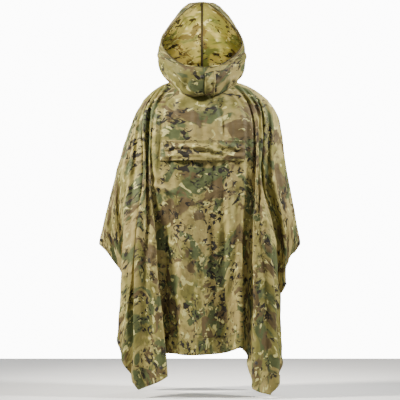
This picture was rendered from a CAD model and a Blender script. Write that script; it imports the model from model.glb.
# %% [markdown]
# # A hooded rain poncho, dressed in Blender
# A rain poncho is one wide rectangle of thin coated cloth with a hole in its middle, and a hood sewn round the
# hole. Worn, it hangs in long folds from the shoulders and the arms, and its four corners fall lowest. The packed
# solids give that form. This lesson lays finer cloth on it, with creases, hems, stitches and snaps, and then
# lights it. Blender's cloth simulation could drape it too, but the form is known already, and code gives the same
# cloth each time. Sizes are in millimetres until a mesh is made.

import math

import bpy
import numpy as np
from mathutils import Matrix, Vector


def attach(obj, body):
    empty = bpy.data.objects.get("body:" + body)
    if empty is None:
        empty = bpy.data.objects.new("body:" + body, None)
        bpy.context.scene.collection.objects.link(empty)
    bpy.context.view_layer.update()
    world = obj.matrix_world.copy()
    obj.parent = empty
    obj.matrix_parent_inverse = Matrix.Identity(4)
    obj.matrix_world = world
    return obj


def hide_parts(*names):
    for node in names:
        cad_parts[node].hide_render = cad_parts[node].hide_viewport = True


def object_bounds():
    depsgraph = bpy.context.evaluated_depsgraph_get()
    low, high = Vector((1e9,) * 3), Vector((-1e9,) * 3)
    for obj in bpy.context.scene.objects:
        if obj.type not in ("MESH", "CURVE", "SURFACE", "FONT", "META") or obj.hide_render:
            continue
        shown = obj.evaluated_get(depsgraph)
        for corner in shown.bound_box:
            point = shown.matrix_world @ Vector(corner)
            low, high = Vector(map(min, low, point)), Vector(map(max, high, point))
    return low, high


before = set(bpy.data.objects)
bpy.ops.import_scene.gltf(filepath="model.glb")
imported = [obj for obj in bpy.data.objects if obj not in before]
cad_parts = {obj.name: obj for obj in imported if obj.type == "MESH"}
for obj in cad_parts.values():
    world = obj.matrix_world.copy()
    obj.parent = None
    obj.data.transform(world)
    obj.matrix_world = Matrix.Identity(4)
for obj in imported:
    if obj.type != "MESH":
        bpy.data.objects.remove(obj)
CAD_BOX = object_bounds()
MM = 0.001
print("the packed part has", len(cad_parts), "nodes, and its box is", [list(c) for c in CAD_BOX])

# %% [markdown]
# ## Camera
# The photograph was taken from far in front, at the height of the waist, so its lines hardly converge. A long
# lens from eight metres gives the same view, where a near one would swell the hood and the chest. The frame is
# 400 pixels of 3.8 mm at the middle of the poncho.

# %% Set the camera
PIXEL, PICTURE, SENSOR = 3.8, 400, 36  # mm a pixel spans at the poncho, pixels, mm
AXIS_X, AXIS_Y = 202, 92  # the photograph's pixel of the frame's origin
DISTANCE = 8.0


def add_object(name, data):
    made = bpy.data.objects.new(name, data)
    bpy.context.collection.objects.link(made)
    return made


def from_photo(x, y):
    """Where a pixel lies across the middle of the poncho: to the right, and up."""
    return (x - AXIS_X) * PIXEL, (AXIS_Y - y) * PIXEL


def add_camera():
    lens = bpy.data.cameras.new("camera")
    lens.sensor_width = SENSOR
    lens.lens = SENSOR * DISTANCE / (PICTURE * PIXEL * MM)
    camera = add_object("camera", lens)
    x, z = from_photo(PICTURE / 2, PICTURE / 2)
    camera.location = (x * MM, -DISTANCE, z * MM)
    camera.rotation_euler = (math.pi / 2, 0, 0)
    bpy.context.scene.camera = camera
    return camera


camera = add_camera()
print("the lens is", round(camera.data.lens, 1), "mm")

# %% [markdown]
# ## Fold lines
# A maker of patterns would say that each thread hangs from the neck or the arm and falls to the hem. Here such
# lines run down through a few named heights, and the cloth is a smooth skin over them. It could be sculpted
# instead, but the tables are those of the solids, so the cloth can't leave its place.

# %% The tables of the worn form
SEAM_GAP = 0.4
HEM_BAND = 62
SHOULDER_DROP, ELBOW_DROP, WRIST_DROP = 80, 330, 560
NECK = dict(half_width=98, fore=95, aft=85, front_z=-10, side_z=40, back_z=36)
NECK_LINES = 3
SHOULDER_TIP_Z, CREST_FORE, CREST_DIP = -30, 34, 12
QUARTER = 12  # fold lines from the middle to an arm's edge
CORNER_LINE = 5
STAGES = 5
# tip_out, shoulder, elbow, wrist, end, end_drop
ARMS = {"left": (222, 249, 331, 388, 391, 578), "right": (250, 281, 327, 370, 373, 578)}
# shoulder_out, shoulder_deep, elbow_out, elbow_deep, wrist_out, wrist_deep, end_out, end_deep, end_drop
# From the middle out: belly, panel, pleat, inner ridge, corner, then valleys and ridges by turns, to the wing.
FRONT_LEFT = [
    (74, 123, 80, 164, 70, 176, 60, 192, 987), (138, 118, 150, 157, 134, 152, 131, 126, 984),
    (170, 112, 184, 148, 164, 140, 176, 110, 1000), (190, 106, 200, 152, 184, 170, 131, 190, 1064),
    (206, 98, 212, 154, 228, 168, 236, 172, 1117), (207, 76, 203, 104, 240, 122, 282, 148, 1034),
    (226, 68, 248, 104, 268, 126, 314, 112, 962), (236, 50, 284, 88, 301, 78, 307, 58, 896),
    (242, 36, 304, 62, 292, 42, 244, 24, 800), (246, 24, 318, 40, 330, 38, 303, 14, 690),
    (248, 12, 327, 21, 368, 22, 346, 9, 622),
]
FRONT_RIGHT = [
    (76, 123, 84, 160, 88, 156, 92, 138, 980), (140, 118, 150, 156, 140, 168, 144, 172, 962),
    (176, 111, 188, 148, 172, 136, 168, 134, 990), (198, 104, 206, 156, 196, 172, 190, 192, 1110),
    (212, 96, 213, 152, 232, 178, 258, 182, 1136), (217, 88, 217, 132, 262, 150, 293, 150, 1066),
    (220, 68, 222, 96, 268, 96, 286, 96, 960), (236, 70, 236, 104, 276, 62, 256, 44, 830),
    (258, 62, 268, 106, 311, 80, 312, 48, 742), (270, 30, 287, 58, 320, 44, 318, 24, 662),
    (279, 14, 318, 34, 352, 26, 344, 10, 616),
]
BACK = [
    (70, 117, 78, 150, 82, 168, 78, 192, 958), (126, 111, 140, 136, 140, 142, 134, 122, 954),
    (162, 104, 178, 130, 180, 122, 186, 92, 978), (186, 94, 200, 138, 202, 158, 200, 180, 1040),
    (203, 82, 215, 128, 228, 152, 228, 172, 1098), (214, 68, 228, 98, 250, 108, 262, 118, 1030),
    (226, 56, 256, 92, 276, 106, 296, 112, 958), (235, 43, 286, 80, 299, 70, 296, 50, 880),
    (241, 32, 303, 57, 294, 42, 240, 26, 788), (245, 22, 316, 38, 325, 32, 298, 12, 686),
    (248, 11, 326, 20, 360, 20, 338, 10, 618),
]
FRONT_CENTRE = (0, 125, 0, 160, 0, 168, 0, 160, 988)
BACK_CENTRE = (0, 118, 0, 140, 0, 148, 0, 146, 954)


# %% [markdown]
# A curve through uneven points overshoots, unless its speed follows their spacing, as in the centripetal
# Catmull-Rom curve. The solids use it too.

# %% A smooth curve through points
def spline(points, at, closed=False):
    """Points of the curve at places counted in control points: 0 is the first, 1 the second."""
    points = np.asarray(points, float)
    at = np.atleast_1d(np.asarray(at, float))
    count = len(points)
    if closed:
        first = np.floor(at).astype(int)
        p0, p1, p2, p3 = (points[(first + k) % count] for k in (-1, 0, 1, 2))
    else:
        ends = 2 * points[0] - points[1], 2 * points[-1] - points[-2]
        padded = np.vstack([ends[0], points, ends[1]])
        first = np.clip(np.floor(at).astype(int), 0, count - 2)
        p0, p1, p2, p3 = (padded[first + k] for k in (0, 1, 2, 3))
    step = (at - first)[:, None]
    d0, d1, d2 = (np.linalg.norm(b - a, axis=1, keepdims=True) ** 0.5 for a, b in ((p0, p1), (p1, p2), (p2, p3)))
    d1 = np.where(d1 < 1e-4, 1, d1)
    d0, d2 = (np.where(d < 1e-4, d1, d) for d in (d0, d2))
    t1 = ((p1 - p0) / d0 - (p2 - p0) / (d0 + d1) + (p2 - p1) / d1) * d1
    t2 = ((p2 - p1) / d1 - (p3 - p1) / (d1 + d2) + (p3 - p2) / d2) * d1
    return p1 + t1 * step + (3 * (p2 - p1) - 2 * t1 - t2) * step**2 + (2 * (p1 - p2) + t1 + t2) * step**3


def smoothstep(value, low, high):
    share = np.clip((np.asarray(value, float) - low) / (high - low), 0, 1)
    return share * share * (3 - 2 * share)


# %% Where each fold line runs
def neck_point(side, degrees):
    a = math.radians(degrees)
    front = degrees <= 90
    deep = NECK["fore"] if front else NECK["aft"]
    low = NECK["front_z"] if front else NECK["back_z"]
    z = low + (NECK["side_z"] - low) * math.sin(a) ** 2
    return np.array([side * NECK["half_width"] * math.sin(a), -math.cos(a) * deep, z])


def fold_points(side, way, index, line, tip_out):
    """A fold line's start, crest, shoulder, elbow, wrist and end; way is -1 in front and 1 at the back."""
    on_neck = index < NECK_LINES
    share = (index - NECK_LINES) / (QUARTER - NECK_LINES)
    if on_neck:
        angle = index * 90 / NECK_LINES
        start = neck_point(side, angle if way < 0 else 180 - angle)
    else:
        along = share**0.8
        out = NECK["half_width"] + (tip_out - NECK["half_width"]) * along
        start = np.array([side * out, 0, NECK["side_z"] + (SHOULDER_TIP_Z - NECK["side_z"]) * along**2])
    drops = SHOULDER_DROP, ELBOW_DROP, WRIST_DROP, line[8]
    below = [np.array([side * line[2 * k], way * line[2 * k + 1], -drops[k]]) for k in range(4)]
    reach = 0.32 if on_neck else 0.12 + 0.23 * share
    crest = start + (below[0] - start) * reach
    if on_neck:
        crest[2] += 8
    else:
        crest[1] = way * CREST_FORE * (1 - share**2)
        crest[2] = start[2] - CREST_DIP + (crest[2] - start[2] + CREST_DIP) * share
    return [start, crest, *below]


def fold_lines():
    """Every fold line in order round the wearer, from the left arm's edge across the front."""
    left, right = ARMS["left"], ARMS["right"]
    edge_of = lambda arm: (arm[1], 0, arm[2], 0, arm[3], 0, arm[4], 0, arm[5])
    wider = [scale for k in (1, 2, 3, 4) for scale in (right[k] / left[k], 1)] + [1]
    back_right = [[v * scale for v, scale in zip(row, wider)] for row in BACK]
    quarter = lambda side, way, rows, arm: [fold_points(side, way, k, row, arm[0]) for k, row in enumerate(rows, 1)]
    return np.array([
        fold_points(-1, -1, QUARTER, edge_of(left), left[0]),
        *quarter(-1, -1, FRONT_LEFT, left)[::-1],
        fold_points(1, -1, 0, FRONT_CENTRE, left[0]),
        *quarter(1, -1, FRONT_RIGHT, right),
        fold_points(1, -1, QUARTER, edge_of(right), right[0]),
        *quarter(1, 1, back_right, right)[::-1],
        fold_points(1, 1, 0, BACK_CENTRE, left[0]),
        *quarter(-1, 1, BACK, left),
    ])


LINES = fold_lines()
CORNERS = [QUARTER + p for p in (-CORNER_LINE, CORNER_LINE, 2 * QUARTER - CORNER_LINE, 2 * QUARTER + CORNER_LINE)]
print(len(LINES), "fold lines, with corners at", CORNERS)

# %% [markdown]
# ## The skin over the fold lines
# At each height a smooth ring joins the lines. Rings all the way down would be simpler, but cloth that was cut
# square has square corners, so near the hem four open curves take over. The lowest 62 mm of the rows are the hem
# band, whatever the length of the line.

# %% Points of the skin
LAST_STAGE, BAND_PART = 0.8, 1 / 6  # where the last stage starts, and the part of its rows in the hem band


def down_on_lines(down):
    """Where rows lie on each line."""
    lengths = np.linalg.norm(LINES[:, -1] - LINES[:, -2], axis=1)[:, None]
    band = np.minimum(0.35, HEM_BAND / lengths)
    within = (down[None, :] - LAST_STAGE) * STAGES
    above = within * (1 - band) / (1 - BAND_PART)
    inside = 1 - band * (1 - within) / BAND_PART
    moved = LAST_STAGE + np.where(within <= 1 - BAND_PART, above, inside) / STAGES
    return np.where(down[None, :] <= LAST_STAGE, down[None, :], moved)


POINTED = 0.78, 0.96  # between these shares of the way down the corners become sharp


def skin(down, places):
    """The worn form at shares of the way down and places round it, as rows and columns of points."""
    down, places = np.asarray(down, float), np.asarray(places, float)
    on_line = down_on_lines(down) * STAGES
    crossings = np.array([spline(line, on_line[k]) for k, line in enumerate(LINES)])
    total = len(LINES)
    wrapped = places % total
    late = np.where(wrapped < CORNERS[0], wrapped + total, wrapped)
    rows = np.empty((len(down), len(places), 3))
    for r, share in enumerate(smoothstep(down, *POINTED)):
        smooth = spline(crossings[:, r], wrapped, closed=True)
        pointed = np.empty_like(smooth)
        for k, first in enumerate(CORNERS):
            last = CORNERS[k + 1] if k < 3 else CORNERS[0] + total
            here = (late >= first) & (late <= last) if k == 0 else (late > first) & (late <= last)
            if here.any():
                stretch = crossings[np.arange(first, last + 1) % total, r]
                pointed[here] = spline(stretch, late[here] - first)
        rows[r] = smooth + (pointed - smooth) * share
    return rows


def rows_of(counts):
    """Shares of the way down, with so many rows in each stage."""
    return np.concatenate([[0]] + [(k + np.arange(1, n + 1) / n) / STAGES for k, n in enumerate(counts)])


ROWS = rows_of((8, 14, 42, 36, 54))
STEPS = 10  # columns from one fold line to the next


def on_seam(places, down):
    """Whether points lie on the seam between front and back, along the shoulders and the arms."""
    within = places % (2 * QUARTER)
    on_arm = np.minimum(within, 2 * QUARTER - within) < 1e-6
    on_shoulder = np.abs(within - QUARTER) >= NECK_LINES
    return on_arm[None, :] | (on_shoulder[None, :] & (down[:, None] == 0))


# %% [markdown]
# ## Cloth that remembers its cut
# A sheet of cloth is kept as a grid of points, each with its place on the flat cut, which the print, the weave
# and the stitches follow. Blender could unwrap the finished mesh instead, but it doesn't know which way the
# threads run. The cut is a rectangle: the middle fold lines end along its lower edge, and the others up its side.

# %% The flat cut
def lengths_along(points):
    """Distances from the first point of a line."""
    steps = np.linalg.norm(np.diff(points, axis=0), axis=1)
    return np.concatenate([[0], np.cumsum(steps)])


def row_lengths(points):
    """The same along every row of a grid."""
    return np.array([lengths_along(row) for row in points])


HALF_WIDTH = NECK["half_width"] + 145 + 573  # neck, shoulder and arm along the fold at the top
HALF_LENGTH = 960  # from that fold to the hem


def flat_places(points, places, first):
    """Each point's place on the flat rectangle: across from the middle, and down from the shoulders' fold."""
    fold = places - first - QUARTER  # fold lines from the middle
    hem = lengths_along(points[-1])
    middle = np.searchsorted(fold, 0)
    left, right = (np.searchsorted(fold, side * CORNER_LINE) for side in (-1, 1))
    end_u, end_v = np.empty(len(fold)), np.empty(len(fold))
    for side, corner, tip in ((-1, left, 0), (1, right, len(fold) - 1)):
        inner = (fold * side >= 0) & (fold * side <= CORNER_LINE)
        outer = fold * side > CORNER_LINE
        end_u[inner] = side * HALF_WIDTH * np.abs(hem[inner] - hem[middle]) / abs(hem[corner] - hem[middle])
        end_v[inner] = HALF_LENGTH
        end_u[outer] = side * HALF_WIDTH
        end_v[outer] = HALF_LENGTH * np.abs(hem[tip] - hem[outer]) / abs(hem[tip] - hem[corner])
    start_u = np.abs(points[0, :, 0]) * np.sign(fold)
    start_v = np.where(np.abs(fold) < NECK_LINES, np.abs(points[0, :, 1]), 0)
    walked = row_lengths(points.swapaxes(0, 1)).T
    share = walked / walked[-1]
    return np.stack([start_u + (end_u - start_u) * share, start_v + (end_v - start_v) * share], axis=-1)


def normals_of(points):
    """Outward directions of a grid whose rows run down and whose columns run to the viewer's right."""
    n = np.cross(np.gradient(points, axis=0), np.gradient(points, axis=1))
    return n / np.maximum(np.linalg.norm(n, axis=-1, keepdims=True), 1e-9)


class Cloth:
    """A grid of cloth: its points, outward directions, flat places, and the places of its rows and columns."""

    def __init__(self, points, flat, rows, columns):
        self.points, self.flat, self.rows, self.columns = points, flat, rows, columns
        self.settle()

    def settle(self):
        self.normals = normals_of(self.points)

    def at(self, rows, columns):
        """Points, outward directions and flat places between those of the grid."""
        r = np.interp(rows, self.rows, np.arange(len(self.rows)))
        c = np.interp(columns, self.columns, np.arange(len(self.columns)))
        r0 = np.clip(np.floor(r).astype(int), 0, len(self.rows) - 2)
        c0 = np.clip(np.floor(c).astype(int), 0, len(self.columns) - 2)
        fr, fc = (r - r0)[..., None], (c - c0)[..., None]
        mix = lambda v: (
            (v[r0, c0] * (1 - fr) + v[r0 + 1, c0] * fr) * (1 - fc)
            + (v[r0, c0 + 1] * (1 - fr) + v[r0 + 1, c0 + 1] * fr) * fc
        )
        n = mix(self.normals)
        return mix(self.points), n / np.linalg.norm(n, axis=-1, keepdims=True), mix(self.flat)

    def row_above(self, column, height):
        """The rows of columns that lie so far above the lower edge."""
        column, height = np.broadcast_arrays(np.asarray(column, float), np.asarray(height, float))
        found = np.empty(column.shape)
        for k in np.ndindex(column.shape):
            line = self.at(self.rows, np.full(len(self.rows), column[k]))[0]
            up = lengths_along(line[::-1])
            found[k] = np.interp(height[k], up, self.rows[::-1])
        return found

    def columns_in(self, row, inset, from_first):
        """The columns of a row that lie so far in from its first or last end."""
        along = lengths_along(self.at(np.full(len(self.columns), row), self.columns)[0])
        return np.interp(inset if from_first else along[-1] - inset, along, self.columns)


def make_panel(first, way):
    places = first + np.arange(2 * QUARTER * STEPS + 1) / STEPS
    points = skin(ROWS, places)
    points[..., 1] = np.where(on_seam(places, ROWS), way * SEAM_GAP / 2, points[..., 1])
    return Cloth(points, flat_places(points, places, first), ROWS, places)


front, back = make_panel(0, -1), make_panel(2 * QUARTER, 1)
print("front grid", front.points.shape[:2], "and back grid", back.points.shape[:2])

# %% [markdown]
# ## The hood
# A hood like this is two mirrored halves, with a seam from the nape over the crown and another below the chin,
# beside a narrow strip. Each section runs from the back seam round the widest place to the front edge, and smooth
# curves join the sections from the neck to the rim. A squeezed sphere would be quicker, but it has no seams and
# no roll on the neck.

# %% Sections of the hood
# back_y, back_z, side_x, side_y, side_z, edge_x, edge_y, edge_z
HOOD = [
    (110, 48, 136, 4, 49, 0, -120, -17),  # overhang
    (124, 64, 151, 6, 62, 0, -138, 2),  # roll
    (134, 92, 160, 6, 80, 0, -143, 40),  # throat
    (142, 130, 166, 4, 112, 0, -136, 84),  # chin
    (147, 162, 167, 2, 138, 56, -130, 90),  # jaw
    (149, 194, 164, 0, 166, 122, -108, 132),  # cheek
    (144, 228, 156, -4, 198, 151, -86, 178),  # temple
    (130, 262, 138, -10, 234, 137, -84, 216),  # brow
    (105, 295, 114, -20, 268, 100, -92, 262),  # upper
    (66, 322, 84, -34, 304, 62, -100, 300),  # crown
    (0, 341, 50, -58, 332, 32, -106, 320),  # fore crown
    (-110, 331, 0, -110, 331, 22, -109, 326),  # top of the rim
]
CHIN_SEAM = 10
CLOSED_SECTIONS = 4


def hood_section_point(side, section, around):
    """0 around is the back seam, 1 the front edge, and the widest place lies between."""
    back_y, back_z, side_x, side_y, side_z, edge_x, edge_y, edge_z = section
    if side_x < edge_x:
        y, z = (back + (edge - back) * around for back, edge in ((back_y, edge_y), (back_z, edge_z)))
        return np.array([side * edge_x * around, y, z])
    edge = side * CHIN_SEAM + SEAM_GAP / 2 if edge_x == 0 else edge_x
    turn = math.acos(edge / side_x)
    share = around * (math.pi / 2 + turn)
    behind = share <= math.pi / 2
    angle = abs(math.pi / 2 - share)
    reach = math.sin(angle) / (1 if behind else math.sin(turn))
    y, z = (back_y, back_z) if behind else (edge_y, edge_z)
    y, z = side_y + (y - side_y) * reach, side_z + (z - side_z) * reach**2
    return np.array([side * side_x * math.cos(angle), y, z])


def neck_seam_points(side, around):
    """The hood's lower edge, just above the panels' neck opening."""
    from_back = np.minimum(around, 1 - around) * 12
    behind = around < 0.5
    places = np.where(behind, 3 * QUARTER - side * from_back / 2, QUARTER + side * from_back / 2)
    points = skin([0.0], places)[0]
    points[around == 0.5, 1] = 0
    points[around == 1, 0] = side * SEAM_GAP / 2
    points[:, 2] += SEAM_GAP
    return points


HOOD_UP = np.linspace(12, 0, 97)  # sections up from the neck, from the top row to the lowest
HOOD_AROUND = np.linspace(0, 1, 73)


def make_hood_half(side):
    lower = neck_seam_points(side, HOOD_AROUND)
    lines = []
    for k, around in enumerate(HOOD_AROUND):
        controls = np.array([lower[k]] + [hood_section_point(side, s, around) for s in HOOD])
        if k == 0:
            controls[:, 0] = side * SEAM_GAP / 2
        lines.append(spline(controls, HOOD_UP))
    points = np.array(lines).transpose(1, 0, 2)
    closed = HOOD_UP <= CLOSED_SECTIONS
    points[closed, -1, 0] = CHIN_SEAM * np.minimum(1, HOOD_UP[closed]) + side * SEAM_GAP / 2
    around = row_lengths(points)
    up = row_lengths(points[::-1].swapaxes(0, 1)).T[::-1]
    flat = np.stack([side * around + side * 900, 200 - up], axis=-1)
    columns = HOOD_AROUND
    if side > 0:
        points, flat, columns = points[:, ::-1], flat[:, ::-1], 1 - HOOD_AROUND[::-1]
    return Cloth(points, flat, -HOOD_UP, columns)


hood_left, hood_right = make_hood_half(-1), make_hood_half(1)
print("each half of the hood has", hood_left.points.shape[:2], "points")

# %% [markdown]
# ## Creases
# Thin cloth shows three sizes of relief. The long folds are in the form already. Soft creases, from packing and
# from the pull of the shoulders, are placed by hand, one row of a table each, where the photograph shows them.
# The third, faint puckers all over, comes from smooth noise stretched along the threads. A sculptor's brush would
# do, but a table can be read, and gives the same cloth each time.

# %% Noise and creases
LATTICE, ORIGIN = 97, 40  # corners along a side of the noise, and the one at the middle of the cut


def cloth_noise(u, v, wide, high, seed):
    """Smooth noise between -1 and 1 with cells so wide and high, in millimetres of the flat cut."""
    lattice = np.random.default_rng(seed).uniform(-1, 1, (LATTICE, LATTICE))
    x, y = u / wide + ORIGIN, v / high + ORIGIN
    i, j = np.floor(x).astype(int), np.floor(y).astype(int)
    fx, fy = (f * f * (3 - 2 * f) for f in (x - i, y - j))
    pick = lambda a, b: lattice[(i + a) % LATTICE, (j + b) % LATTICE]
    low, high_row = (pick(0, b) * (1 - fx) + pick(1, b) * fx for b in (0, 1))
    return low * (1 - fy) + high_row * fy


CREASE_STEPS = 14  # places from one named point of a crease to the next
CREASE_SEAT = 9  # mm round a place within which the cloth nearest the viewer is sought


def crease_height(cloth, route, width, way):
    """How near each point is to a route given in pixels: 1 on it, 0 a width away, fading at its ends."""
    across, up = from_photo(*np.array(route, float).reshape(-1, 2).T)
    line = np.stack([across, np.zeros(len(across)), up], axis=-1)
    line = spline(line, np.linspace(0, len(line) - 1, CREASE_STEPS * (len(line) - 1) + 1))
    flatly = cloth.points.reshape(-1, 3)
    for k, (x, _, z) in enumerate(line):
        away = np.hypot(flatly[:, 0] - x, flatly[:, 2] - z)
        near = away < CREASE_SEAT
        line[k, 1] = way * np.max(way * flatly[near, 1]) if near.any() else flatly[np.argmin(away), 1]
    best = np.full(len(flatly), 1e9)
    share = np.zeros(len(flatly))
    for k, point in enumerate(line):
        away = np.linalg.norm(flatly - point, axis=1)
        nearer = away < best
        best[nearer], share[nearer] = away[nearer], k / (len(line) - 1)
    profile = np.exp(-3.0 * (best / width) ** 2) * 0.4 + np.clip(1 - best / width, 0, 1) ** 1.3 * 0.6
    fade = np.sin(math.pi * np.clip(share, 0.02, 0.98)) ** 0.7
    return (profile * fade).reshape(cloth.points.shape[:2])


# width and height in mm, a trough with a height below 0, then the places it runs through in the picture's pixels
FRONT_CREASES = [
    (12, 8, 148, 181, 156, 186, 163, 189, 176, 194), (12, -4, 150, 176, 158, 181, 168, 185),
    (11, 5, 145, 197, 142, 218, 139, 242), (15, -10, 151, 98, 149, 128, 148, 157, 146, 205),
    (14, 7, 159, 98, 157, 128, 156, 170), (20, -4, 170, 100, 176, 118, 178, 138),
    (12, 9, 259, 183, 262, 215, 263, 257), (15, -9, 252, 186, 255, 220, 254, 256),
    (11, 5, 277, 193, 282, 222, 285, 257), (12, 5, 245, 190, 250, 194, 256, 198),
    (10, 4, 243, 167, 243, 177, 243, 188), (13, 7, 137, 262, 131, 300, 130, 333),
    (11, 4, 148, 282, 154, 283, 160, 284), (11, 4, 153, 310, 158, 311, 164, 313),
    (11, 4, 167, 331, 176, 331, 186, 330), (18, -11, 249, 240, 250, 290, 248, 333),
    (20, 7, 242, 236, 240, 285, 241, 330), (10, 4, 255, 294, 263, 294, 272, 293),
    (12, 6, 269, 273, 272, 295, 278, 323), (28, 8, 188, 200, 184, 250, 180, 300),
    (30, -9, 206, 190, 208, 240, 206, 320), (28, 8, 226, 180, 230, 235, 225, 300),
    (26, -9, 168, 215, 164, 260, 165, 318), (20, 8, 156, 222, 152, 262, 150, 320),
    (24, 4, 192, 100, 196, 120, 194, 142), (26, -5, 214, 99, 222, 118, 224, 142),
    (22, 5, 236, 100, 242, 120, 244, 142), (22, -3, 204, 170, 196, 182, 186, 190),
    (16, 4, 122, 150, 116, 185, 108, 222), (20, -5, 132, 130, 128, 165, 122, 210),
    (14, 4, 106, 200, 116, 212, 124, 226), (13, -4, 100, 222, 112, 232, 122, 246),
    (18, 4, 290, 130, 296, 165, 302, 205), (16, -4, 280, 120, 284, 150, 290, 190),
    (13, 4, 296, 205, 304, 222, 308, 240), (16, 4, 196, 300, 200, 318, 198, 334),
    (16, -4, 216, 306, 214, 320, 217, 334), (18, -4, 233, 268, 230, 290, 232, 312),
    (14, 5, 270, 330, 274, 350, 278, 368), (14, -5, 124, 310, 128, 340, 130, 366),
]
BACK_CREASES = [
    (30, -6, 206, 108, 203, 190, 204, 300), (24, 5, 176, 110, 180, 180, 176, 280),
    (26, 5, 232, 112, 228, 190, 232, 290), (20, -6, 160, 130, 156, 200, 158, 300),
    (20, -6, 248, 130, 252, 205, 248, 310), (22, 5, 190, 180, 186, 240, 190, 320),
    (22, -5, 218, 200, 222, 250, 217, 318), (13, 4, 150, 190, 165, 196, 182, 193),
    (12, 4, 238, 182, 248, 188, 258, 198), (18, 4, 120, 150, 114, 190, 106, 224),
    (18, -5, 132, 130, 128, 170, 124, 214), (18, 4, 286, 130, 294, 170, 300, 214),
    (16, -5, 276, 130, 280, 160, 284, 200), (12, 3, 170, 322, 186, 320, 200, 322),
]
WAVE = 46  # mm from one hanging fold to the next


def thread_relief(cloth, seed, size, on_arms):
    """Hanging folds that run with the fold lines, then faint puckers along and across the threads."""
    u, v = cloth.flat[..., 0], cloth.flat[..., 1]
    fold = (cloth.columns - cloth.columns[0] - QUARTER)[None, :] + 0 * u
    down = cloth.rows[:, None] + 0 * u
    out = np.abs(fold)
    slack = 0.22 + 0.78 * smoothstep(out, 2.6, 4.2) - (1 - on_arms) * smoothstep(out, 5.6, 7.4)
    slack = slack * smoothstep(down, 0.1, 0.5)
    hung = (cloth.rows > 0.3) & (cloth.rows < 0.95)
    reach = row_lengths(cloth.points[hung]).mean(axis=0)
    reach = (reach - reach[len(reach) // 2])[None, :] + 0 * u
    drift = 0.55 * cloth_noise(reach, down, 105, 0.6, seed + 5)
    strength = 0.7 + 0.3 * cloth_noise(reach, down, 90, 0.5, seed + 6)
    waves = np.sin((reach / WAVE + drift) * 2 * math.pi) * strength
    hanging = (waves * size + cloth_noise(reach, down, 19, 0.4, seed + 7) * size * 0.25) * slack
    slow = cloth_noise(u, v, 62, 330, seed) * 2.6 + cloth_noise(u + 0.25 * v, v, 34, 190, seed + 1) * 1.6
    puckers = cloth_noise(u, v, 23, 46, seed + 2) * 0.9 + cloth_noise(u + 0.6 * v, v, 40, 27, seed + 3) * 1.1
    packed = (1 - np.abs(cloth_noise(u + 0.5 * v, v, 82, 105, seed + 8))) ** 5
    packed = packed * smoothstep(cloth_noise(u, v, 190, 170, seed + 9), -0.2, 0.4) * 4.5
    return hanging + slow + puckers + packed + cloth_noise(u, v, 11, 21, seed + 4) * 0.4


CREASE_GAIN = 1.5  # times the heights in the tables
NO_PLEAT = 99


def crease(cloth, creases, way, seed, size, on_arms, stiff_pleat=NO_PLEAT):
    """Adds the relief. It fades to the top and the open sides, and low on a pleat that is too sharp for it."""
    rise = thread_relief(cloth, seed, size, on_arms)
    for width, height, *route in creases:
        rise = rise + crease_height(cloth, route, width, way) * height * CREASE_GAIN
    down = np.cumsum(np.linalg.norm(np.diff(cloth.points, axis=0, prepend=cloth.points[:1]), axis=-1), axis=0)
    across = row_lengths(cloth.points)
    from_top = smoothstep(down, 0, 60)
    from_ends = smoothstep(np.minimum(across, across[:, -1:] - across), 0, 40)
    near_ends = 0.15 + 0.85 * from_ends
    off_pleat = np.abs(cloth.columns - cloth.columns[0] - QUARTER - stiff_pleat)[None, :]
    calm = 1 - (1 - smoothstep(off_pleat, 0.5, 1.2)) * smoothstep(cloth.rows[:, None], 0.7, 0.82)
    cloth.points = cloth.points + cloth.normals * (rise * from_top * near_ends * calm)[..., None]
    cloth.settle()
    print("relief from", round(float(rise.min()), 1), "to", round(float(rise.max()), 1), "mm")


crease(front, FRONT_CREASES, -1, 11, 13.0, 0.4)
crease(back, BACK_CREASES, 1, 41, 17.0, 0.85, stiff_pleat=1 - CORNER_LINE)

# %% Creases of the hood
# height mm, section from the neck, how far round it (0 back seam, 1 front edge), width mm, and its length in sections
HOOD_CREASES = [
    (8, 2.6, 0.1, 11, 3.2), (-9, 3.4, 0.2, 12, 4.0), (8, 3.2, 0.31, 11, 3.6), (-8, 5.8, 0.12, 15, 4.2),
    (9, 6.5, 0.27, 14, 4.4), (-4, 1.6, 0.52, 12, 1.2), (5, 2.2, 0.62, 11, 1.4), (-6, 1.9, 0.74, 12, 1.3),
    (6, 2.5, 0.83, 10, 1.2), (-5, 2.4, 0.9, 10, 1.4), (4, 5.0, 0.55, 16, 2.0), (-3, 7.5, 0.6, 16, 2.2),
]


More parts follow.
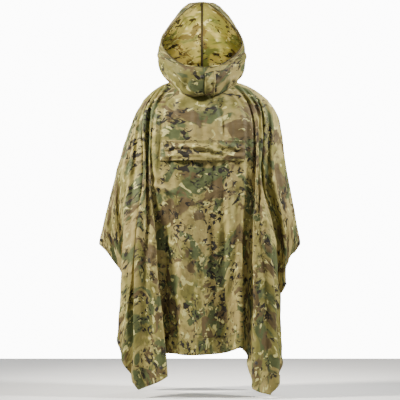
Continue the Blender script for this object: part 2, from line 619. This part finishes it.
def crease_hood(cloth, side, seed):
    up = -cloth.rows[:, None]
    around = cloth.columns[None, :] if side < 0 else 1 - cloth.columns[None, :]
    girth = row_lengths(cloth.points)[:, -1:]
    rise = np.zeros(cloth.points.shape[:2])
    for k, (height, at_up, at_around, width, length) in enumerate(HOOD_CREASES):
        shift = 0.05 * math.sin(2.1 * k + side)
        lean = 0.03 * (up - at_up) * (1 if k % 2 else -1)
        away = (around - at_around - shift - lean) * girth / width
        along = (up - at_up) / (length / 2)
        rise = rise + height * np.exp(-2 * away**2) * np.exp(-1.5 * along**2)
    u, v = cloth.flat[..., 0], cloth.flat[..., 1]
    rise = rise + cloth_noise(u, v, 40, 70, seed) * 2.5 + cloth_noise(u, v, 18, 30, seed + 1) * 1.2
    bunch = np.exp(-(((up - 2.4) / 1.5) ** 2)) * smoothstep(around, 0.35, 0.7)
    rise = rise + bunch * cloth_noise(u + v, v, 30, 17, seed + 2) * 4
    edges = smoothstep(np.minimum(around, 1 - around) * girth, 0, 28) * smoothstep(up, 0, 1.2)
    cloth.points = cloth.points + cloth.normals * (rise * edges * smoothstep(12 - up, 0, 2))[..., None]
    sag = np.exp(-(((up - 1.3) / 0.9) ** 2)) * smoothstep(around, 0.5, 0.8) * (1 - smoothstep(around, 0.86, 1))
    cloth.points[..., 2] -= 13 * sag  # the roll sags on the collarbones
    cloth.settle()


crease_hood(hood_left, -1, 71)
crease_hood(hood_right, 1, 81)

# %% [markdown]
# ## Colours and nodes
# Colours are picked as sRGB hex values, and Blender works in linear light, so one function turns them. Another
# adds a node with its settings and links.

# %% Colour and node helpers
def colour(hex_value):
    parts = [int(hex_value[k : k + 2], 16) / 255 for k in (1, 3, 5)]
    return (*[c / 12.92 if c <= 0.04045 else ((c + 0.055) / 1.055) ** 2.4 for c in parts], 1)


def node(tree, kind, inputs=None, **settings):
    """Adds a node, whose kind may leave out its tree's. An input gets a value or another node's output socket."""
    made = tree.nodes.new(kind if "Node" in kind else tree.bl_idname.replace("Tree", kind))
    for name, value in settings.items():
        setattr(made, name, value)
    for name, value in (inputs or {}).items():
        if isinstance(value, bpy.types.NodeSocket):
            tree.links.new(value, made.inputs[name])
        else:
            made.inputs[name].default_value = value
    return made


def new_material(name):
    material = bpy.data.materials.new(name)
    material.use_nodes = True
    tree = material.node_tree
    tree.nodes.clear()
    return material, tree


def finish_material(tree, shader):
    output = node(tree, "OutputMaterial")
    tree.links.new(shader.outputs["BSDF"], output.inputs["Surface"])


# %% [markdown]
# ## Coated nylon with a generic camouflage
# The cloth is a light woven nylon, printed on its face and coated on its back, so the reverse is paler and
# yellower, with the print showing through. The eye sees drifts of tan and olive, blotches of green and brown,
# small pale bits, and dark flecks in loose groups. An image could carry such a print. Noise on the flat cut makes
# a plain one of our own, in those colours and of that scale.

# %% The camouflage print
def blotches(tree, cloth_uv, size_mm, offset, low, high, stretch=(1, 1), detail=3.0, warp=0.6):
    """A mask of irregular shapes about so wide: 0 outside, 1 inside."""
    place = node(tree, "Mapping", {
        "Vector": cloth_uv, "Location": (offset, offset * 0.7, offset * 0.3), "Scale": (*stretch, 1),
    })
    cells = node(tree, "TexNoise", {
        "Vector": place.outputs["Vector"], "Scale": 1000 / size_mm, "Detail": detail, "Roughness": 0.55,
        "Distortion": warp,
    })
    return node(tree, "MapRange", {
        "Value": cells.outputs["Fac"], "From Min": low, "From Max": high,
    }, interpolation_type="SMOOTHSTEP").outputs["Result"]


# colour, size in mm, offset, low, high, stretch, detail
PRINTS = [
    ("olive", 240, 1.3, 0.42, 0.58, (1, 1), 2), ("khaki", 95, 4.1, 0.51, 0.6, (0.85, 1.15), 3),
    ("green", 92, 7.7, 0.525, 0.58, (0.8, 1.2), 3), ("brown", 80, 11.9, 0.55, 0.6, (0.85, 1.15), 3),
    ("cream", 30, 15.2, 0.61, 0.66, (0.85, 1.2), 2),
]
# a Mix node's sockets for colours, by number, because it has several of each name
SHARE, BELOW, ABOVE, MIXED = 0, 6, 7, 2


def camouflage(tree, cloth_uv, palette):
    """The printed colours, from the ground up. The dark flecks lie in groups."""
    ground = palette["tan"]
    for name, size, offset, low, high, stretch, detail in PRINTS:
        mask = blotches(tree, cloth_uv, size, offset, low, high, stretch, detail)
        layers = node(tree, "Mix", {SHARE: mask, BELOW: ground, ABOVE: palette[name]}, data_type="RGBA")
        ground = layers.outputs[MIXED]
    flecks = blotches(tree, cloth_uv, 25, 19.4, 0.55, 0.57, (0.85, 1.3), 2.5, warp=1.1)
    groups = blotches(tree, cloth_uv, 105, 23.8, 0.45, 0.53, detail=2)
    both = node(tree, "Math", {0: flecks, 1: groups}, operation="MULTIPLY").outputs[0]
    layers = node(tree, "Mix", {SHARE: both, BELOW: ground, ABOVE: palette["dark"]}, data_type="RGBA")
    return layers.outputs[MIXED]


def palette_of(codes):
    return dict(zip(("tan", "olive", "khaki", "green", "brown", "cream", "dark"), map(colour, codes.split())))


FACE_COLOURS = palette_of("#887a46 #6b662f #93884d #464d29 #524426 #b2ac6c #1c170c")
REVERSE_COLOURS = palette_of("#cfc072 #a39c50 #ddce80 #7f8549 #7c6b39 #e9e09b #352c17")


def coated_nylon(name, palette, roughness, sheen):
    material, tree = new_material(name)
    cloth_uv = node(tree, "UVMap", uv_map="flat_cut").outputs["UV"]
    # packing leaves faint crumples; the weave itself is too fine to show, so its grain is drawn 2.5 mm coarse
    crumple = node(tree, "TexNoise", {
        "Vector": cloth_uv, "Scale": 1000 / 38, "Detail": 4.0, "Roughness": 0.5, "Distortion": 0.4,
    })
    weave = node(tree, "TexNoise", {"Vector": cloth_uv, "Scale": 1000 / 2.5, "Detail": 1.0})
    soft = node(tree, "Bump", {"Height": crumple.outputs["Fac"], "Strength": 0.8, "Distance": 0.008})
    relief = node(tree, "Bump", {
        "Height": weave.outputs["Fac"], "Strength": 0.25, "Distance": 0.0006, "Normal": soft.outputs["Normal"],
    })
    shader = node(tree, "BsdfPrincipled", {
        "Base Color": camouflage(tree, cloth_uv, palette), "Roughness": roughness, "Normal": relief.outputs["Normal"],
        "IOR": 1.5, "Specular IOR Level": 0.28, "Sheen Weight": sheen, "Sheen Roughness": 0.5,
    })
    finish_material(tree, shader)
    return material


nylon_face = coated_nylon("printed_nylon_face", FACE_COLOURS, 0.68, 0.04)
nylon_reverse = coated_nylon("coated_nylon_reverse", REVERSE_COLOURS, 0.55, 0.02)
print("cloth materials:", nylon_face.name, nylon_reverse.name)

# %% [markdown]
# ## Thread, tape and painted brass
# The sewing thread is olive polyester, matt and round. The tape over the seams and round the face is dark. The
# snaps are pressed brass, painted black, so the eye sees a dark cap with a soft highlight. One plain colour each
# would do at this size, but a little noise between two makes them look less like plastic.

# %% Thread, tape and snap materials
def mottled(name, scale, detail, dark, pale, roughness, settings=None, on_cut=False):
    """Two colours mixed by noise, in the object's space or on the flat cut. Two roughnesses are mixed as well."""
    material, tree = new_material(name)
    if on_cut:
        place = node(tree, "UVMap", uv_map="flat_cut").outputs["UV"]
    else:
        place = node(tree, "TexCoord").outputs["Object"]
    noise = node(tree, "TexNoise", {"Vector": place, "Scale": scale, "Detail": detail}).outputs["Fac"]
    if isinstance(roughness, tuple):
        limits = {"To Min": roughness[0], "To Max": roughness[1]}
        roughness = node(tree, "MapRange", {"Value": noise, **limits}).outputs["Result"]
    spots = node(tree, "Mix", {SHARE: noise, BELOW: colour(dark), ABOVE: colour(pale)}, data_type="RGBA")
    finish_material(tree, node(tree, "BsdfPrincipled", {
        "Base Color": spots.outputs[MIXED], "Roughness": roughness, **(settings or {}),
    }))
    return material


thread_material = mottled("polyester_thread", 900.0, 1.0, "#4c4527", "#766c44", 0.75)
snap_material = mottled("painted_brass", 260.0, 3.0, "#15140f", "#37332a", (0.3, 0.5), {"Metallic": 0.2})
binding_tape = mottled("ribbed_tape", 500.0, 2.0, "#2b2415", "#453b22", 0.8, on_cut=True)
print("small materials:", thread_material.name, snap_material.name, binding_tape.name)

# %% [markdown]
# ## From a grid to a closed shell
# Cloth has a face, a reverse and an edge. The reverse lies a thickness behind the face here, and a strip of faces
# closes the edge. A Solidify modifier would do that too, with painted weights for the hems, which are folded
# twice and so thicker. Here their distance from the edge says it, and nothing is painted.

# %% Make shells
WALL = 1.3  # a single cloth, drawn thick enough to keep its two sides apart
HEM_WIDTH = 11, 15  # mm from the edge to the first and the last of a hem's step down to the single cloth


def shell(name, cloth, node_names=(), hem=0.0, hem_edges="", thickness=WALL, taped=None):
    """A closed wall whose face is the grid. Edges named t, b, l or r are thicker. taped marks cells of dark tape."""
    rows, columns = cloth.points.shape[:2]
    thick = np.full((rows, columns), float(thickness))
    if hem:
        across = row_lengths(cloth.points)
        down = row_lengths(cloth.points.swapaxes(0, 1)).T
        distance = {"l": across, "r": across[:, -1:] - across, "t": down, "b": down[-1:] - down}
        nearest = np.min([distance[e] for e in hem_edges], axis=0)
        thick += hem * (1 - smoothstep(nearest, *HEM_WIDTH))
    outer = cloth.points + cloth.normals * ((thick - thickness) * 0.5)[..., None]
    inner = outer - cloth.normals * thick[..., None]
    vertices = np.concatenate([outer.reshape(-1, 3), inner.reshape(-1, 3)]) * MM
    base = rows * columns
    grid = np.arange(base).reshape(rows, columns)
    a, b, c, d = grid[:-1, :-1], grid[1:, :-1], grid[1:, 1:], grid[:-1, 1:]
    face = np.stack([a, b, c, d], -1).reshape(-1, 4)
    rim = np.concatenate([grid[:, 0], grid[-1, 1:], grid[-2::-1, -1], grid[0, -2:0:-1]])
    after = np.roll(rim, -1)
    edge = np.stack([after, rim, rim + base, after + base], -1)
    quads = np.concatenate([face, face[:, ::-1] + base, edge])
    mesh = bpy.data.meshes.new(name)
    mesh.from_pydata(vertices.tolist(), [], quads.tolist())
    for material in (nylon_face, nylon_reverse, binding_tape):
        mesh.materials.append(material)
    kinds = np.zeros(len(quads), int)
    kinds[len(face) : 2 * len(face)] = 1
    if taped is not None:
        kinds[: 2 * len(face)][np.tile(taped.reshape(-1), 2)] = 2
        r, c = np.divmod(rim, columns)
        kinds[2 * len(face) :][taped[np.minimum(r, rows - 2), np.minimum(c, columns - 2)]] = 2
    mesh.polygons.foreach_set("material_index", kinds)
    mesh.polygons.foreach_set("use_smooth", np.ones(len(quads), bool))
    flat = np.tile(cloth.flat.reshape(-1, 2), (2, 1)) * MM
    layer = mesh.uv_layers.new(name="flat_cut")
    layer.data.foreach_set("uv", flat[quads.reshape(-1)].reshape(-1))
    mesh.validate()
    made = add_object(name, mesh)
    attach(made, "root")
    if node_names:
        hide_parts(*node_names)
    print(name, "has", len(quads) * 2, "triangles")
    return made


HEM = 1.0  # what a hem adds to the wall
front_shell = shell("front_cloth", front, ["front_panel"], HEM, "blr")
back_shell = shell("back_cloth", back, ["back_panel"], HEM, "blr")
face_edge = np.zeros((len(HOOD_UP) - 1, len(HOOD_AROUND) - 1), bool)
face_edge[HOOD_UP[:-1] > CLOSED_SECTIONS, -1] = True
hood_left_shell = shell("hood_left_cloth", hood_left, ["hood_left"], HEM, "r", taped=face_edge)
hood_right_shell = shell("hood_right_cloth", hood_right, ["hood_right"], HEM, "l", taped=face_edge[:, ::-1])

# %% [markdown]
# ## What is sewn on the panels
# A hem band along the middle of each lower edge, a triangle over each corner, a flap across the chest and a strip
# beside the chin seam. Each is cut from the same cloth. A Shrinkwrap modifier could press flat pieces on the
# panels, but a grid laid on the grid below takes all of its folds and keeps off it evenly.

# %% Lay a second cloth on the first
def shares(down, across):
    """Shares of the way down and across a piece, as two grids."""
    return np.meshgrid(np.linspace(0, 1, down), np.linspace(0, 1, across), indexing="ij")


def laid_on(cloth, rows, columns, lift, shift=(0.0, 0.0), turn=0.0):
    """A grid laid on a cloth at some rows and columns, lifted. Its print is cut from elsewhere on the bolt."""
    points, normals, flat = cloth.at(rows, columns)
    flat = flat @ np.array([[math.cos(turn), -math.sin(turn)], [math.sin(turn), math.cos(turn)]]) + np.array(shift)
    return Cloth(points + normals * np.asarray(lift)[..., None], flat, np.arange(len(rows)), np.arange(rows.shape[1]))


def columns_of(cloth, from_middle):
    """The columns so many fold lines to the viewer's left (-) or right (+) of the middle."""
    middle = (cloth.columns[0] + cloth.columns[-1]) / 2
    return middle + (1 if cloth is front else -1) * np.asarray(from_middle, float)


BAND_REACH = 2.5  # fold lines from the middle to a band's end
LAY_UP = 0.5 + WALL + 0.6  # from the face of a cloth over its hem to the face of one laid on it


def hem_band(name, cloth, shift):
    """The lowest of the last stage's six parts, doubled. Its gathers puff it up."""
    down, across = shares(13, 121)
    first, last = np.sort(columns_of(cloth, [-BAND_REACH, BAND_REACH]))
    pulled = 1 + 0.5 * np.sin(across * 61) + 0.5 * np.sin(across * 97 + 1)
    puff = 1.6 * np.sin(math.pi * down) ** 0.5 * pulled
    parts = 6 * STAGES
    band = laid_on(cloth, (parts - 1 + down) / parts, first + (last - first) * across, LAY_UP + puff, shift)
    return band, shell(name + "_cloth", band, [name])


front_band, front_band_shell = hem_band("front_hem_band", front, (310.0, 120.0))
back_band, back_band_shell = hem_band("back_hem_band", back, (250.0, 420.0))

PATCH_UP, PATCH_TIP = 120 / math.sqrt(2), 3  # its height over the corner and at its two tips, in mm


def corner_patch(panel, side, shift):
    cloth, corner = (front if panel == "front" else back), CORNER_LINE * side
    name = panel + ("_left_patch" if side < 0 else "_right_patch")
    down, across = shares(13, 49)
    first, last = np.sort(columns_of(cloth, [corner - side, corner + side]))
    columns = first + (last - first) * across
    height = PATCH_UP + (PATCH_TIP - PATCH_UP) * np.abs(2 * across[0] - 1)
    base = cloth.row_above(columns[0], height)
    patch = laid_on(cloth, base + (1 - base) * down, columns, LAY_UP + 0.4, shift, 1.1)
    return panel, patch, shell(name + "_cloth", patch, [name])


PATCHES = [
    corner_patch("front", -1, (500, 90)), corner_patch("front", 1, (150, 700)),
    corner_patch("back", -1, (820, 330)), corner_patch("back", 1, (40, 540)),
]

# %% [markdown]
# The flap covers the mouth of a chest pocket. It is sewn along its top, so it swells and crumples below the
# seam, and its lower edge stands off and throws a thin dark shadow. A strip laid flat would look glued on, so
# this one is lifted off the front by its own waves.

# %% The chest flap
FLAP = dict(left=-2.1, right=2.22, top=8.8, bottom=11.0)  # fold lines from the middle, and rows of the solids
FLAP_WIDE, FLAP_HIGH = 335, 84
CAD_ROWS = rows_of((2, 3, 8))


def chest_flap():
    i, j = shares(41, 161)
    first, last = columns_of(front, [FLAP["left"], FLAP["right"]])
    top, bottom = np.interp([FLAP["top"], FLAP["bottom"]], np.arange(len(CAD_ROWS)), CAD_ROWS)
    from_ends = np.sin(np.pi / 2 * np.minimum(1, 8 * np.minimum(j, 1 - j)))
    swell = 9 * np.sin(np.pi * i * 0.72) * (0.75 + 0.25 * np.cos(9 * j + 2))
    fold = 4 * np.sin(np.pi * i) * np.sin(15 * i + 4 * np.sin(5 * j))
    across, down = j * FLAP_WIDE, i * FLAP_HIGH
    crumple = cloth_noise(across + 1.4 * down, down, 88, 14, 5) * 7.0
    crumple = crumple + cloth_noise(across - 1.2 * down, down, 40, 11, 6) * 2.2
    rise = (swell + fold) * from_ends + 0.8 * crumple * np.sin(np.pi * np.clip(i, 0, 0.9)) * from_ends
    lift = LAY_UP + 0.4 + np.maximum(0, rise) * np.minimum(1, 3 * i)
    flap = laid_on(front, top + (bottom - top) * i, first + (last - first) * j, lift, (430.0, 260.0))
    return flap, shell("chest_flap_cloth", flap, ["chest_flap"], 0.8, "b")


flap, flap_shell = chest_flap()

# %% The strip beside the chin seam
strip_grid = np.meshgrid(np.linspace(-3.5, -1.0, 31), np.linspace(0, 1 / 12, 9), indexing="ij")
strip = laid_on(hood_right, *strip_grid, LAY_UP - 0.4, (90.0, 610.0))
strip_shell = shell("chin_strip_cloth", strip, ["neck_placket"])

# %% [markdown]
# Inside the hood a narrow tape keeps the rain out of each seam. The crown's shows as a dark line through the
# face opening. A painted line would do from afar, but the gap between the halves would stay open. So each tape
# is a strip of its own, and its points lie just behind both halves.

# %% Tapes over the hood's seams
TAPE_REACH, TAPE_WALL = 4.5, 0.8
INSIDE = WALL + 0.8  # from a cloth's face to that of a tape behind it


def seam_tape(name, around, lowest, highest):
    """A tape behind the seam at the back (around 0) or below the chin (around 1), between two heights."""
    rows = hood_left.rows[(hood_left.rows <= -lowest) & (hood_left.rows >= -highest)]
    from_seam = np.array([TAPE_REACH, TAPE_REACH / 2, 0.3])
    halves = []
    for cloth, from_first in ((hood_left, around == 0), (hood_right, around == 1)):
        half = []
        for row in rows:
            points, normals, flat = cloth.at(np.full(3, row), cloth.columns_in(row, from_seam, from_first))
            half.append((points - normals * (INSIDE + TAPE_WALL), flat))
        halves.append(half)
    if around == 1:
        halves.reverse()
    points = np.array([np.vstack([a[0], b[0][::-1]]) for a, b in zip(*halves)])
    flat = np.array([np.vstack([a[1], a[1][::-1] + 3]) for a, _ in zip(*halves)])
    taped = np.full((len(rows) - 1, 5), around == 0)
    return shell(name, Cloth(points, flat, rows, np.arange(6)), thickness=TAPE_WALL, taped=taped)


crown_tape = seam_tape("crown_seam_tape", 0, 0.3, 11.7)
chin_tape = seam_tape("chin_seam_tape", 1, 0.3, 3.9)

# %% Tape inside the neck seam
def neck_tape(name, hood, side):
    """A tape round half the neck, from the hood's inner side over the seam to the panels' inner side."""
    count = len(hood.columns)
    around = hood.columns if side < 0 else 1 - hood.columns
    lines_out = np.minimum(around, 1 - around) * 2 * NECK_LINES
    behind = (around < 0.5)[:, None]
    rows = []
    for up in (0.25, 0.1):
        points, normals, _ = hood.at(np.full(count, -up), hood.columns)
        rows.append(points - normals * INSIDE)
    middle = hood.points[-1] * [1, 1, 0]
    rows.append(hood.points[-1] - middle / np.linalg.norm(middle, axis=1, keepdims=True) * (INSIDE + 0.8))
    for down in (0.012, 0.035):
        at_back = back.at(np.full(count, down), 3 * QUARTER - side * lines_out)
        at_front = front.at(np.full(count, down), QUARTER + side * lines_out)
        points, normals = (np.where(behind, at_back[k], at_front[k]) for k in (0, 1))
        rows.append(points - normals * INSIDE)
    points = np.array(rows)
    up_cut, along = np.meshgrid(40 - 4.0 * np.arange(len(rows)), lengths_along(points[2]) + 700, indexing="ij")
    tape = Cloth(points, np.stack([along, up_cut], axis=-1), np.arange(len(rows)), hood.columns)
    return shell(name, tape, thickness=TAPE_WALL)


neck_tapes = [neck_tape("neck_seam_tape_left", hood_left, -1), neck_tape("neck_seam_tape_right", hood_right, 1)]

# %% [markdown]
# ## Stitches
# A machine's lockstitch shows as a row of short threads. They could be painted, but real ones stand out from the
# cloth and catch light. One is made once, and Geometry Nodes set a copy along every seam, turned with it. At 4.5
# mm apart and 0.9 mm thick they are somewhat coarse, so that they show from eight metres.

# %% Where the seams run
def route(cloth, rows, columns, lift):
    points, normals, _ = cloth.at(np.asarray(rows, float), np.asarray(columns, float))
    return (points + normals * lift) * MM


def inset_route(cloth, edge, inset, lift, low=0.0, high=1.0):
    """A line so far in from the left, right or bottom edge of a cloth."""
    shares_along = np.linspace(low, high, 160)
    if edge == "b":
        columns = cloth.columns[0] + (cloth.columns[-1] - cloth.columns[0]) * shares_along
        return route(cloth, cloth.row_above(columns, inset), columns, lift)
    rows = np.interp(shares_along * (len(cloth.rows) - 1), np.arange(len(cloth.rows)), cloth.rows)
    return route(cloth, rows, [cloth.columns_in(row, inset, edge == "l") for row in rows], lift)


def across_routes(cloth, rows, first, count):
    """Lines along some rows, starting and ending so many columns in."""
    span = np.linspace(first, len(cloth.columns) - 1 - first, count)
    return [route(cloth, np.full(count, row), span, 0.4) for row in rows]


def down_routes(cloth, columns, first, last):
    span = np.linspace(first, last, 30)
    return [route(cloth, span, np.full(len(span), column), 0.4) for column in columns]


def seam_routes():
    """The hems, the bands, the patches, the flap, the strip, and the hood's rim and back seam."""
    routes = [inset_route(cloth, "b", 9, 0.6) for cloth in (front, back)]
    for band in (front_band, back_band):
        routes += across_routes(band, (0.5, 1.6, 11.4), 0, 120)
    for _, patch, _ in PATCHES:
        routes += across_routes(patch, (0.6, 1.7, 11.2), 1, 60)
    routes += across_routes(flap, (1.2, 4.0, 36.0), 1, 140)
    routes += down_routes(flap, (3.0, 157.0), 1, 38) + down_routes(strip, (1.0, 7.0), 0.5, 29.5)
    low, high = np.interp([-11.9, -4.0], hood_left.rows, np.linspace(0, 1, len(hood_left.rows)))
    for hood, rim, nape in ((hood_left, "r", "l"), (hood_right, "l", "r")):
        routes += [inset_route(hood, rim, inset, 0.9, low, high) for inset in (3, 20)]
        routes.append(inset_route(hood, nape, 4, 0.5, 0.02, 0.98))
    return routes


def seam_curves(routes):
    curve = bpy.data.curves.new("seams", "CURVE")
    curve.dimensions = "3D"
    for points in routes:
        line = curve.splines.new("POLY")
        line.points.add(len(points) - 1)
        line.points.foreach_set("co", np.column_stack([points, np.ones(len(points))]).reshape(-1))
    return add_object("seams", curve)


# %% Geometry nodes that sew
def new_geometry_tree(name, sizes):
    """A tree with a geometry input, named sizes, and a geometry output."""
    tree = bpy.data.node_groups.new(name, "GeometryNodeTree")
    tree.interface.new_socket("Geometry", in_out="INPUT", socket_type="NodeSocketGeometry")
    for size, value in sizes.items():
        socket = tree.interface.new_socket(size, in_out="INPUT", socket_type="NodeSocketFloat")
        socket.default_value = value
    tree.interface.new_socket("Geometry", in_out="OUTPUT", socket_type="NodeSocketGeometry")
    return tree


def run_tree(made, tree, sizes, name):
    """Runs a tree on an object, with its sizes set by identifier, and keeps the result as a plain mesh."""
    modifier = made.modifiers.new("nodes", "NODES")
    modifier.node_group = tree
    for item in tree.interface.items_tree:
        if item.item_type == "SOCKET" and item.in_out == "INPUT" and item.name in sizes:
            modifier[item.identifier] = sizes[item.name]
    bpy.context.view_layer.update()
    graph = bpy.context.evaluated_depsgraph_get()
    mesh = bpy.data.meshes.new_from_object(made.evaluated_get(graph), depsgraph=graph)
    mesh.name = name
    bpy.data.objects.remove(made)
    return add_object(name, mesh)


def set_copies(tree, points, shape, direction, material, **more):
    """Ends a tree: a copy of the shape at each point, its axis along the direction, all one painted mesh."""
    turn = node(tree, "FunctionNodeAlignRotationToVector", {"Vector": direction}, axis="Z")
    copies = node(tree, "InstanceOnPoints", {
        "Points": points, "Instance": shape, "Rotation": turn.outputs["Rotation"], **more,
    })
    real = node(tree, "RealizeInstances", {"Geometry": copies.outputs["Instances"]})
    painted = node(tree, "SetMaterial", {"Geometry": real.outputs["Geometry"], "Material": material})
    tree.links.new(painted.outputs["Geometry"], node(tree, "NodeGroupOutput").inputs["Geometry"])
    return tree


THREAD = {"Pitch": 0.0045, "Length": 0.0033, "Radius": 0.00045}  # metres


def sewing_tree():
    tree = new_geometry_tree("sewing", THREAD)
    into = node(tree, "NodeGroupInput").outputs
    spaced = node(tree, "CurveToPoints", {
        "Curve": into["Geometry"], "Length": into["Pitch"],
    }, mode="LENGTH").outputs
    thread = node(tree, "MeshCylinder", {
        "Vertices": 6, "Radius": into["Radius"], "Depth": into["Length"],
    }, fill_type="TRIANGLE_FAN")
    return set_copies(tree, spaced["Points"], thread.outputs["Mesh"], spaced["Tangent"], thread_material)


stitches = run_tree(seam_curves(seam_routes()), sewing_tree(), THREAD, "stitches")
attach(stitches, "root")
print("stitches:", len(stitches.data.polygons) // 18)

# %% [markdown]
# ## Snaps
# Each snap is a pressed ring with a domed cap. Its profile is turned about its axis once. A Screw modifier could
# do that, but its two poles would have to be merged afterwards. Geometry Nodes set a copy at each place, facing
# out of the cloth. Snaps only pop together, so they stay as the photograph shows them.

# %% Make and place the snaps
# fold lines from the middle, and height above the edge in mm
EDGE_SNAPS = {
    "left_wing_snap": (-11.5, 34), "left_side_snap_1": (-8.2, 16), "left_side_snap_2": (-7.7, 16),
    "left_side_snap_3": (-7.05, 16), "left_hem_snap": (-4.25, 46), "right_wing_snap": (11.6, 16),
    "right_side_snap": (9, 16), "right_hem_snap": (4.2, 104),
}
CHIN_SNAP = np.array(-3.2), np.array(11.75 / 12)  # row and column of the left half of the hood
# out from the axis and up, in mm
SNAP_PROFILE = [
    (0, 0), (6.2, 0), (6.5, 0.3), (6.5, 1.0), (6.1, 1.4), (5.0, 1.5), (4.7, 1.9), (4.4, 2.8), (3.4, 3.4), (2.0, 3.6),
    (0, 3.5),
]


def turned(name, profile, sides):
    """A body turned from a profile that starts and ends on the axis."""
    angles = np.arange(sides) * 2 * math.pi / sides
    rim = [(out * math.cos(a), out * math.sin(a), up) for out, up in profile[1:-1] for a in angles]
    vertices = [(0, 0, profile[0][1]), *rim, (0, 0, profile[-1][1])]
    rings, around = len(profile) - 2, range(sides)
    at = lambda ring, s: 1 + ring * sides + s % sides
    faces = [(0, at(0, s + 1), at(0, s)) for s in around]
    for ring in range(rings - 1):
        faces += [(at(ring, s), at(ring, s + 1), at(ring + 1, s + 1), at(ring + 1, s)) for s in around]
    faces += [(len(vertices) - 1, at(rings - 1, s), at(rings - 1, s + 1)) for s in around]
    mesh = bpy.data.meshes.new(name)
    mesh.from_pydata((np.array(vertices) * MM).tolist(), [], faces)
    mesh.polygons.foreach_set("use_smooth", np.ones(len(faces), bool))
    return bpy.data.objects.new(name, mesh)


def snap_places():
    """The seat and outward direction of every snap."""
    seats = []
    for fold, up in EDGE_SNAPS.values():
        column = columns_of(front, fold)
        point, normal, _ = front.at(front.row_above(column, up), column)
        seats.append((point + normal * 1.4, normal))
    point, normal, _ = hood_left.at(*CHIN_SNAP)
    seats.append((point + normal * 1.2, normal))
    return [np.array(column, float) for column in zip(*seats)]


def placing_tree(shape):
    tree = new_geometry_tree("snapping", {"Size": 1.0})
    into = node(tree, "NodeGroupInput").outputs
    facing = node(tree, "InputNamedAttribute", {"Name": "facing"}, data_type="FLOAT_VECTOR")
    one = node(tree, "ObjectInfo", {"Object": shape}).outputs["Geometry"]
    direction = facing.outputs["Attribute"]
    return set_copies(tree, into["Geometry"], one, direction, snap_material, Scale=into["Size"])


def set_snaps():
    seats, facing = snap_places()
    points = bpy.data.meshes.new("snap_points")
    points.from_pydata((seats * MM).tolist(), [], [])
    points.attributes.new("facing", "FLOAT_VECTOR", "POINT").data.foreach_set("vector", facing.reshape(-1))
    shape = turned("snap_shape", SNAP_PROFILE, 28)
    made = run_tree(add_object("snap_points", points), placing_tree(shape), {"Size": 1.0}, "snaps")
    bpy.data.objects.remove(shape)
    return made


snaps = set_snaps()
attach(snaps, "root")
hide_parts(*EDGE_SNAPS, "chin_snap")
print("snaps:", len(snap_places()[0]))

# %% [markdown]
# ## What the cloth says of itself
# Each sheet is declared with the size it was cut to. The front is half of the rectangle, from the fold along
# the arms down to the hem, less half of the neck hole.

# %% [markdown]
# ## Light and floor
# The photograph is lit like a catalogue: a bright soft light high on the left, a weaker one on the right, a
# faint one in front, one aimed into the hood, one behind for the crown, and a white surround. A picture of a
# studio could light it too, but area lights need no file, and each can be turned up or down alone.

# %% Floor, lights and world
def add_floor():
    z = CAD_BOX[0][2] - 0.012
    mesh = bpy.data.meshes.new("floor")
    mesh.from_pydata([(-4, -3, z), (4, -3, z), (4, 1.8, z), (-4, 1.8, z)], [], [(0, 1, 2, 3)])
    glow = {"Emission Color": colour("#ffffff"), "Emission Strength": 0.28}
    mesh.materials.append(mottled("pale_floor", 6.0, 2.0, "#e9e8e4", "#f1f0ed", 0.9, glow))
    add_object("floor", mesh)


def add_light(name, place, target, size, power, tint, spread=180):
    lamp = bpy.data.lights.new(name, "AREA")
    lamp.shape, lamp.size, lamp.energy = "DISK", size, power
    lamp.color, lamp.spread = colour(tint)[:3], math.radians(spread)
    made = add_object(name, lamp)
    made.location = place
    made.rotation_euler = (Vector(target) - Vector(place)).to_track_quat("-Z", "Y").to_euler()


def add_world():
    """A white surround: what it lights is dimmer than what the camera sees of it, as behind a lit backdrop."""
    world = bpy.data.worlds.new("studio")
    world.use_nodes = True
    tree = world.node_tree
    tree.nodes.clear()
    seen = node(tree, "LightPath").outputs["Is Camera Ray"]
    strength = node(tree, "MapRange", {"Value": seen, "To Min": 0.17, "To Max": 12.0})
    backdrop = node(tree, "Background", {
        "Color": colour("#fdfdfc"), "Strength": strength.outputs["Result"],
    })
    output = node(tree, "OutputWorld")
    tree.links.new(backdrop.outputs["Background"], output.inputs["Surface"])
    bpy.context.scene.world = world


add_floor()
add_light("left_box", (-2.2, -0.75, 1.3), (-0.3, 0, -0.3), 0.5, 24.5, "#fffaf0", 52)
add_light("right_box", (2.2, -0.7, 1.4), (0.28, 0, -0.3), 0.5, 17, "#fbfaf6", 52)
add_light("front_box", (-0.2, -1.3, 2.5), (0, 0, 0.1), 0.5, 3, "#ffffff")
add_light("hood_spot", (0.0, -2.6, 0.0), (0, 0, 0.27), 0.2, 0.3, "#fffbe0", 7)
add_light("back_box", (0.4, 1.7, 2.5), (0, 0, 0), 0.8, 36, "#ffffff")
add_world()
